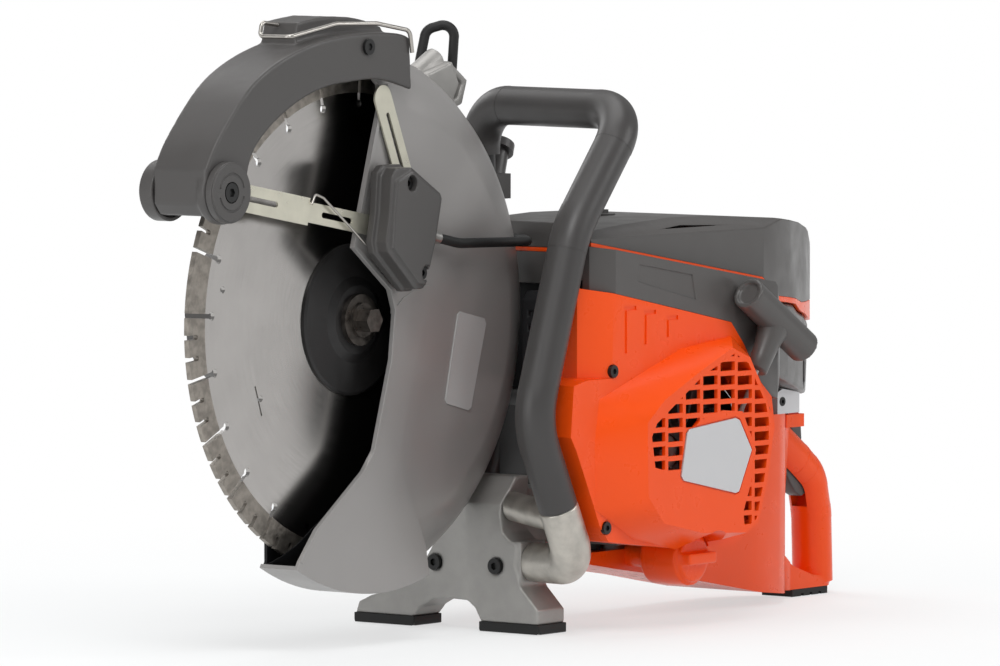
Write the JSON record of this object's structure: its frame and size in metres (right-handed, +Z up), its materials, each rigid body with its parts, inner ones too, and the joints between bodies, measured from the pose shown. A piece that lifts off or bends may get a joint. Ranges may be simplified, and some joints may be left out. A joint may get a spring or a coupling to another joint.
{
  "type": "rescue saw",
  "caption": "Hand-held engine-driven rescue saw with a segmented cutting blade, tilting guard with a retracting roller front guard, wrap-around front handle and D-shaped rear handle.",
  "frame": {"origin": "centre of the part's footprint box, on the floor under the front pads and the rear foot", "axes": "+X to the rear handle, -Y is the starter side, +Z up; the blade's axis runs along Y"},
  "size_m": [0.7424, 0.2545, 0.441],
  "materials": {
    "blade_steel": "brushed",
    "segment_matrix": "matte sintered",
    "black_steel": "satin black",
    "bolt_steel": "oiled",
    "machined_steel": "machined",
    "guard_grey": "satin grey paint",
    "liner_black": "matt black",
    "plate_silver": "satin",
    "zinc": "zinc plated",
    "dark_plastic": "fine grain",
    "rubber_black": "matt",
    "screw_black": "black oxide",
    "cast_grey": "painted casting",
    "cast_bare": "worn bare casting",
    "grip_rubber": "satin",
    "case_alloy": "cast",
    "dark_alloy": "heat black",
    "orange_plastic": "semi-gloss",
    "cover_plastic": "fine grain",
    "rope_white": "braided",
    "red_plastic": "satin",
    "blue_plastic": "satin",
    "wire_steel": "drawn wire"
  },
  "bodies": {
    "machine": {"front_stand": "cast_grey", "stand_pads": "rubber_black", "handle_elbow": "cast_bare", "handle_tube": "dark_alloy", "handle_grip": "grip_rubber", "crankcase": "case_alloy", "engine_cylinder": "dark_alloy", "muffler": "dark_alloy", "cutting_arm": "case_alloy", "spindle_bearings": "machined_steel", "belt_cover": "cover_plastic", "drive_belt": "rubber_black", "starter_housing": "orange_plastic", "starter_badge": "plate_silver", "top_cover": "cover_plastic", "cover_stripe": "orange_plastic", "side_band": "cover_plastic", "filter_housing": "cover_plastic", "fuel_tank_frame": "orange_plastic", "rubber_mounts": "rubber_black", "throttle_block": "plate_silver", "water_valve": "dark_plastic", "machine_screws": "screw_black"},
    "blade": {"blade_core": "blade_steel", "blade_segments": "segment_matrix", "outer_flange": "black_steel", "inner_flange": "black_steel", "blade_bolt": "bolt_steel", "spindle": "machined_steel", "driven_pulley": "machined_steel"},
    "guard": {"guard_shell": "guard_grey", "guard_back": "liner_black", "guard_liner": "liner_black", "guard_label_plate": "plate_silver", "guard_bracket": "cast_grey", "guard_hose": "rubber_black", "hose_ferrule": "machined_steel", "mechanism_box": "dark_plastic", "link_pins": "machined_steel"},
    "retracting_guard": {"front_guard": "dark_plastic", "front_guard_clip": "wire_steel", "front_guard_screws": "screw_black"},
    "near_roller": {"near_roller": "dark_plastic"},
    "far_roller": {"far_roller": "dark_plastic"},
    "inner_link": {"lower_inner_link": "zinc", "link_wire": "wire_steel"},
    "outer_link": {"lower_outer_link": "zinc"},
    "top_link": {"upper_link": "zinc"},
    "drum": {"clutch_drum": "machined_steel"},
    "crank": {"crankshaft": "machined_steel", "flywheel": "case_alloy"},
    "rope_pulley": {"starter_pulley": "dark_plastic"},
    "pull_grip": {"starter_rope": "rope_white", "pull_handle": "cover_plastic"},
    "knob": {"cover_knob": "dark_plastic"},
    "cap": {"fuel_cap": "orange_plastic"},
    "trigger": {"throttle_trigger": "dark_plastic"},
    "lockout": {"throttle_lockout": "dark_plastic"},
    "switch": {"stop_switch": "red_plastic"},
    "lever": {"valve_lever": "blue_plastic"}
  },
  "joints": [
    {"name": "blade_spin", "type": "hinge", "parent": "machine", "child": "blade", "pos_m": [-0.17225, 0.00925, 0.228], "axis": [0, 1, 0], "continuous": true},
    {"name": "drum_spin", "type": "hinge", "parent": "machine", "child": "drum", "pos_m": [0.08275, 0.06925, 0.124], "axis": [0, 1, 0], "continuous": true},
    {"name": "crank_spin", "type": "hinge", "parent": "machine", "child": "crank", "pos_m": [0.08275, 0.00925, 0.124], "axis": [0, 1, 0], "continuous": true},
    {"name": "guard_tilt", "type": "hinge", "parent": "machine", "child": "guard", "pos_m": [-0.17225, 0.01625, 0.228], "axis": [0, 1, 0], "range_deg": [-25, 8]},
    {"name": "front_guard_retract", "type": "hinge", "parent": "guard", "child": "retracting_guard", "pos_m": [-0.17225, 0.00425, 0.228], "axis": [0, 1, 0], "range_deg": [0, 45], "stiffness_Nm_per_rad": 0.6, "springref_deg": -68.75},
    {"name": "near_roller_spin", "type": "hinge", "parent": "retracting_guard", "child": "near_roller", "pos_m": [-0.34925, -0.02975, 0.324], "axis": [0, 1, 0], "continuous": true},
    {"name": "far_roller_spin", "type": "hinge", "parent": "retracting_guard", "child": "far_roller", "pos_m": [-0.34925, 0.02685, 0.324], "axis": [0, 1, 0], "continuous": true},
    {"name": "outer_link_swing", "type": "hinge", "parent": "retracting_guard", "child": "outer_link", "pos_m": [-0.34925, -0.01975, 0.324], "axis": [0, 1, 0], "range_deg": [0, 2.6]},
    {"name": "inner_link_swing", "type": "hinge", "parent": "guard", "child": "inner_link", "pos_m": [-0.14425, -0.01775, 0.288], "axis": [0, 1, 0], "range_deg": [0, 48]},
    {"name": "top_link_swing", "type": "hinge", "parent": "guard", "child": "top_link", "pos_m": [-0.13925, -0.01775, 0.312], "axis": [0, 1, 0], "range_deg": [0, 91]},
    {"name": "starter_pull", "type": "slide", "parent": "machine", "child": "pull_grip", "axis": [0.5538, 0, 0.8327], "range_m": [0, 0.08], "stiffness_N_per_m": 60, "springref_m": -0.05},
    {"name": "starter_pulley_spin", "type": "hinge", "parent": "machine", "child": "rope_pulley", "pos_m": [0.08275, -0.11525, 0.124], "axis": [0, 1, 0], "range_deg": [-330, 0]},
    {"name": "throttle_squeeze", "type": "hinge", "parent": "machine", "child": "trigger", "pos_m": [0.31125, -0.00575, 0.106], "axis": [0, 1, 0], "range_deg": [-12, 0], "stiffness_Nm_per_rad": 0.6, "springref_deg": 5.73},
    {"name": "lockout_press", "type": "hinge", "parent": "machine", "child": "lockout", "pos_m": [0.32905, -0.00575, 0.1108], "axis": [0, 1, 0], "range_deg": [-10, 0], "stiffness_Nm_per_rad": 0.5, "springref_deg": 5.73},
    {"name": "stop_slide", "type": "slide", "parent": "machine", "child": "switch", "axis": [1, 0, 0], "range_m": [0, 0.005]},
    {"name": "knob_turn", "type": "hinge", "parent": "machine", "child": "knob", "pos_m": [0.08975, -0.00875, 0.29], "axis": [0, 0, 1], "range_deg": [0, 90]},
    {"name": "fuel_cap_turn", "type": "hinge", "parent": "machine", "child": "cap", "pos_m": [0.07775, -0.08575, 0.05], "axis": [0, 1, 0], "range_deg": [0, 90]},
    {"name": "valve_turn", "type": "hinge", "parent": "machine", "child": "lever", "pos_m": [0.08155, 0.07585, 0.341], "axis": [0.4878, 0.2071, 0.848], "range_deg": [0, 90]}
  ],
  "couplings": [
    {"joint": "drum_spin", "follows": "blade_spin", "ratio": 1.98},
    {"joint": "inner_link_swing", "follows": "front_guard_retract", "ratio": 1.0529},
    {"joint": "outer_link_swing", "follows": "front_guard_retract", "ratio": 0.0529},
    {"joint": "top_link_swing", "follows": "front_guard_retract", "ratio": 2.01},
    {"joint": "starter_pulley_spin", "follows": "starter_pull", "rad_per_m": -71.429}
  ]
}
